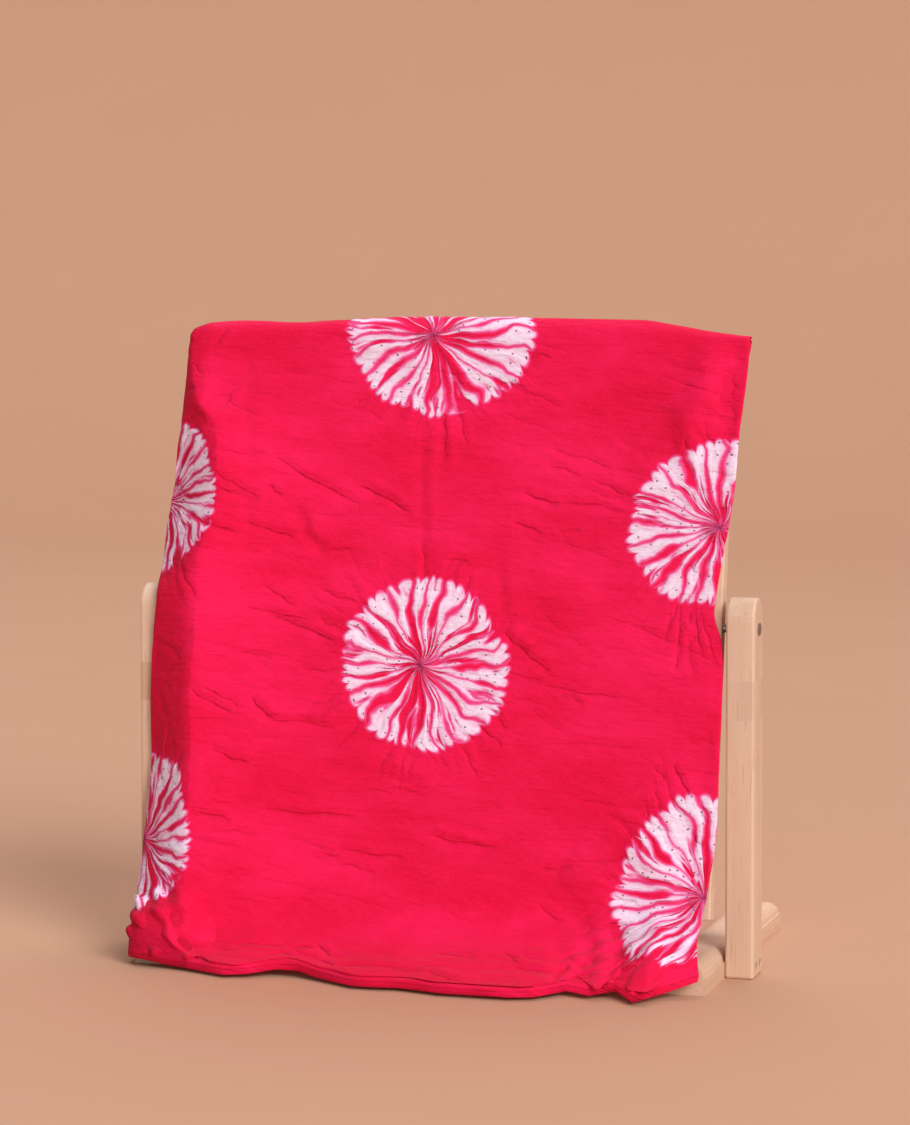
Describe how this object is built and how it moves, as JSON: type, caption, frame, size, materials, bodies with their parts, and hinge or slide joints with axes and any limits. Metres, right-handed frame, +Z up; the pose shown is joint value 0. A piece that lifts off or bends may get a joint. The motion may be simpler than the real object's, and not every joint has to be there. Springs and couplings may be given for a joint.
{
  "type": "bandhani cloth draped over the board of a tilting wooden stand",
  "caption": "Folded tie-dyed cotton cloth hanging over a square wooden board that is held at a tilt between the posts of a small stand, its free end resting on the floor.",
  "frame": {"origin": "middle of the footprint on the floor", "axes": "+X to the right seen from the front, +Y to the back, +Z up; the cloth faces -Y"},
  "size_m": [0.5654, 0.3964, 0.5666],
  "materials": {
    "crimson_cotton": "matte, tie-dyed",
    "pale_wood": "planed, unvarnished",
    "dull_steel": "dull zinc"
  },
  "bodies": {
    "root": {"cloth": "crimson_cotton", "board": "pale_wood", "post_left": "pale_wood", "post_right": "pale_wood", "foot_left": "pale_wood", "foot_right": "pale_wood", "pivot_bolt_left": "dull_steel", "pivot_bolt_right": "dull_steel", "screw_left_1": "dull_steel", "screw_left_2": "dull_steel", "screw_right_1": "dull_steel", "screw_right_2": "dull_steel"}
  },
  "joints": []
}
